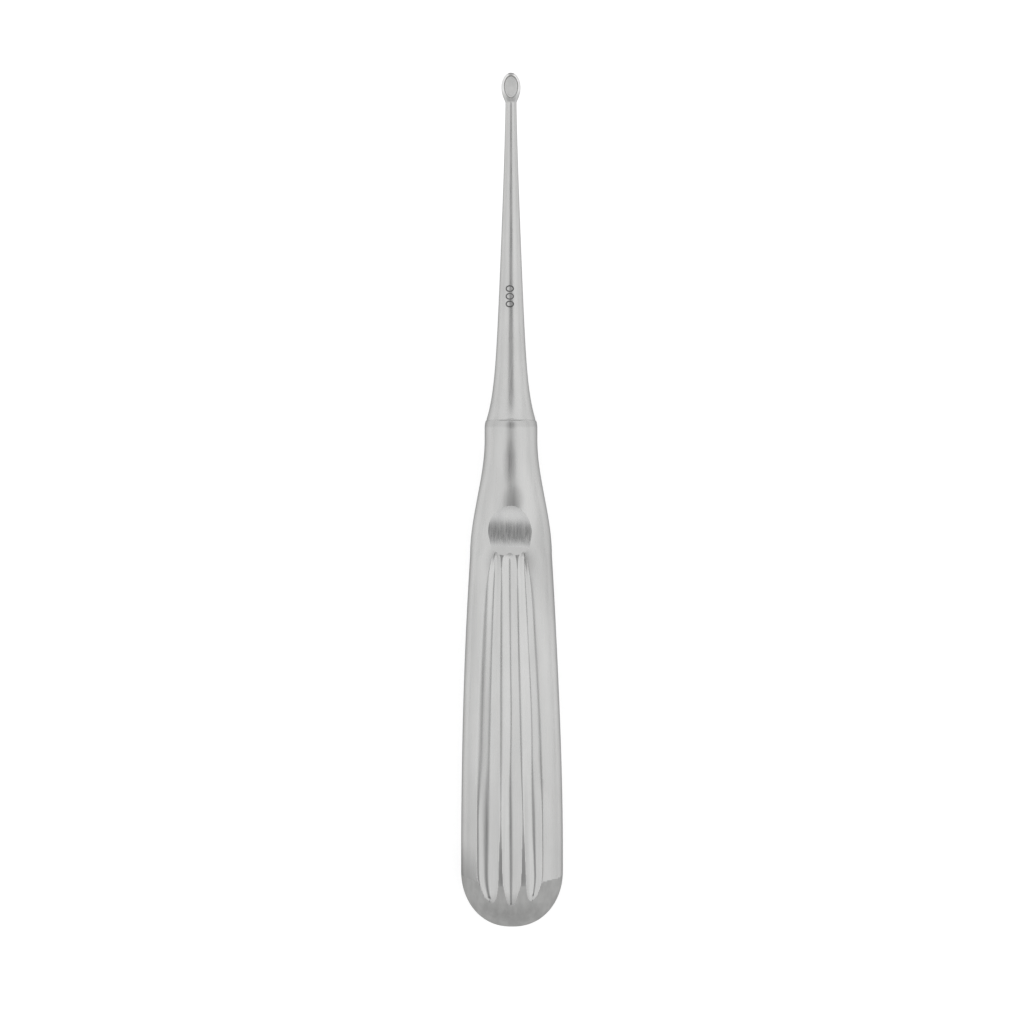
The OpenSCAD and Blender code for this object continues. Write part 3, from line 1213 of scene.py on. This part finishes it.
# The fluted steel's patches are painted shade for the dark reflection where the flutes run out towards the butt; its
# lower roughness there is real polish.
FLUTED = SteelFinish(
    "fluted_steel", (0.57, 0.57, 0.565), (0.52, 0.52, 0.515), 0.27, 0.06, Lines(2600, 60, 0.0006), Clouds(260, 0.02),
    butt_polish=0.09,
    shade_and_polish_patches=(ShadeAndPolishPatch(0.0, -85.0, 14.0, 7.6, 0.4), ShadeAndPolishPatch(0.0, -84.0, 18.0, 42.0, 0.08)),
)
FACETED = SteelFinish(
    "faceted_steel", (0.54, 0.54, 0.535), (0.51, 0.51, 0.505), 0.3, 0.04, Lines(900, 900, 0.0003), Clouds(400, 0.002)
)
# The head's lighter colour is a painted highlight for the bright outer wall round the cup; its patches are painted
# shade for dark reflections at the tip's apex and behind the cup.
HEAD = SteelFinish(
    "head_steel", (0.8, 0.8, 0.795), (0.72, 0.72, 0.715), 0.3, 0.05, Lines(2600, 900, 0.0006), Clouds(400, 0.004),
    grazing=0.5,
    shade_and_polish_patches=(ShadeAndPolishPatch(0.0, 79.0, 3.6, 3.0, 0.36), ShadeAndPolishPatch(0.0, 85.0, 1.1, 0.7, 0.6)),
)
FINISHES = {
    Finish.SATIN: SATIN,
    Finish.THUMB: GROUND,
    Finish.HOLLOW: HOLLOW,
    Finish.EDGE: EDGE,
    Finish.BUTT: BUTT,
    Finish.FLUTE: FLUTED,
    Finish.FACET: FACETED,
    Finish.HEAD: HEAD,
}


@dataclass(frozen=True)
class MarkOxide:
    """The dark oxide of the size mark."""

    colour: Colour = (0.05, 0.05, 0.052)
    worn: Colour = (0.12, 0.12, 0.12)
    cloud_scale: float = 2500.0
    roughness: float = 0.6

    def material(self, effects: Effects) -> bpy.types.Material:
        """Build the oxide as a material.

        Args:
            effects: the shared node groups.

        Returns:
            The new material.
        """
        made = bpy.data.materials.new("mark_oxide")
        made.use_nodes = True
        graph = Graph(made.node_tree)
        clouds = graph.node("ShaderNodeGroup", {"node_tree": effects.mottle}, {"Scale": self.cloud_scale})
        colour = graph.blend(clouds.outputs["Tone"], rgba(self.colour), rgba(self.worn))
        skin = graph.node("ShaderNodeBsdfPrincipled", inputs={"Base Color": colour, "Roughness": self.roughness})
        out = graph.node("ShaderNodeOutputMaterial")
        graph.feed(out.inputs["Surface"], skin.outputs[0])
        return made


@dataclass(frozen=True)
class Studio:
    """Camera, floor and a soft white tent with a dark opening for the lens."""

    picture_px: float = 1024.0
    tip_px: float = 72.7
    butt_px: float = 926.5
    axis_px: float = 511.0
    lens: float = 200.0
    sensor: float = 36.0
    clip: tuple[float, float] = (0.01, 50.0)

    # The table top, and how brightly it shows as itself
    floor_size: float = 6.0
    floor_tone: float = 0.5
    floor_glow: float = 0.66

    # The opening for the lens, by the direction's X and Y, and how soft its edge is
    gap_centre: float = 0.16
    gap_wide: float = 0.29
    gap_long: float = 0.3
    gap_light: float = 0.28
    gap_edge: tuple[float, float] = (0.45, 1.5)

    # Where the tent's light changes with the direction's Z and Y, how much of it there is, and its lean to one side
    rise: tuple[float, float] = (0.0, 0.65)
    rise_light: tuple[float, float] = (0.98, 1.15)
    butt_side: tuple[float, float] = (-0.6, -0.42)
    tip_side: tuple[float, float] = (0.68, 0.92)
    far_light: float = 0.6
    lean: float = 0.07

    def camera(self, length: float, axis_height: float) -> bpy.types.Object:
        """Put the camera straight above, framed as the photograph is.

        Args:
            length: the instrument's whole length in metres.
            axis_height: height of its axis above the floor in metres.

        Returns:
            The camera.
        """
        metres_a_px = length / (self.butt_px - self.tip_px)
        middle = self.picture_px / 2
        y = length / 2 - (middle - self.tip_px) * metres_a_px
        x = (middle - self.axis_px) * metres_a_px
        distance = axis_height + self.lens / self.sensor * self.picture_px * metres_a_px
        data = bpy.data.cameras.new("camera")
        data.lens = self.lens
        data.sensor_width = self.sensor
        data.clip_start, data.clip_end = self.clip
        made = bpy.data.objects.new("camera", data)
        made.location = (x, y, distance)
        bpy.context.scene.collection.objects.link(made)
        bpy.context.scene.camera = made
        return made

    def floor(self) -> bpy.types.Object:
        """Make a matt white table top under the instrument.

        Returns:
            The table top.
        """
        half = self.floor_size / 2
        corners = np.array([[-half, -half, 0], [half, -half, 0], [half, half, 0], [-half, half, 0]])
        made = new_object("floor", corners, [[0, 1, 2, 3]])
        material = bpy.data.materials.new("table_white")
        material.use_nodes = True
        graph = Graph(material.node_tree)
        matt = graph.node("ShaderNodeBsdfDiffuse", inputs={"Color": rgba((self.floor_tone,) * 3)})
        glow = graph.node("ShaderNodeEmission", inputs={"Color": rgba(WHITE), "Strength": self.floor_glow})
        path = graph.node("ShaderNodeLightPath")
        seen = graph.math("MAXIMUM", path.outputs["Is Camera Ray"], path.outputs["Is Glossy Ray"])
        seen = graph.math("MAXIMUM", seen, path.outputs["Is Transmission Ray"])
        lit = graph.node("ShaderNodeAddShader")
        graph.feed(lit.inputs[0], matt.outputs[0])
        graph.feed(lit.inputs[1], glow.outputs[0])
        chosen = graph.node("ShaderNodeMixShader")
        graph.feed(chosen.inputs[0], seen)
        graph.feed(chosen.inputs[1], matt.outputs[0])
        graph.feed(chosen.inputs[2], lit.outputs[0])
        out = graph.node("ShaderNodeOutputMaterial")
        graph.feed(out.inputs["Surface"], chosen.outputs[0])
        made.data.materials.append(material)
        return made

    def tent(self) -> bpy.types.World:
        """Hang a white light tent: dark round the lens overhead, and dimmer low down and beyond both ends.

        Returns:
            The tent as a world.
        """
        world = bpy.data.worlds.new("tent")
        world.use_nodes = True
        graph = Graph(world.node_tree)
        way = graph.node("ShaderNodeSeparateXYZ", inputs={0: graph.node("ShaderNodeTexCoord").outputs["Generated"]})
        x, y, z = way.outputs
        off_y = graph.math("DIVIDE", graph.math("SUBTRACT", y, self.gap_centre), self.gap_long)
        off_x = graph.math("DIVIDE", x, self.gap_wide)
        off = graph.math("ADD", graph.math("MULTIPLY", off_x, off_x), graph.math("MULTIPLY", off_y, off_y))
        lens = graph.span(off, *self.gap_edge, (self.gap_light, 1.0))
        low = graph.span(z, *self.rise, self.rise_light)
        butt_side = graph.span(y, *self.butt_side, (self.far_light, 1.0))
        tip_side = graph.span(y, *self.tip_side, (1.0, self.far_light))
        ends = graph.math("MULTIPLY", butt_side, tip_side)
        light = graph.math("MULTIPLY", graph.math("MULTIPLY", lens, low), ends)
        side = graph.math("MULTIPLY_ADD", graph.math("MULTIPLY", x, z), self.lean)
        side.node.inputs[2].default_value = 1.0
        strength = graph.math("MULTIPLY", light, side)
        back = graph.node("ShaderNodeBackground", inputs={"Color": rgba(WHITE), "Strength": strength})
        out = graph.node("ShaderNodeOutputWorld")
        graph.feed(out.inputs["Surface"], back.outputs[0])
        bpy.context.scene.world = world
        return world


def main() -> None:
    """Load the frame, build the instrument, dress it, and set the studio round it."""
    logging.basicConfig(level=logging.INFO, format="%(name)s: %(message)s")
    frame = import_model()
    low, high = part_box(NODE)
    LOG.info("frame holds %s", sorted(frame["nodes"]))

    curette = Curette(tip_y=high.y / MM, axis_z=Grip().thickness / 2)
    effects = Effects(brushing_group(), mottle_group())
    curette.dress(curette.build(), effects)
    mark = SizeMark(curette)
    mark.dress(mark.build(), effects)

    studio = Studio()
    studio.camera(high.y - low.y, curette.axis_z * MM)
    studio.floor()
    studio.tent()
    bpy.context.scene.view_settings.view_transform = "Standard"
    LOG.info("studio is set")


if __name__ == "__main__":
    main()
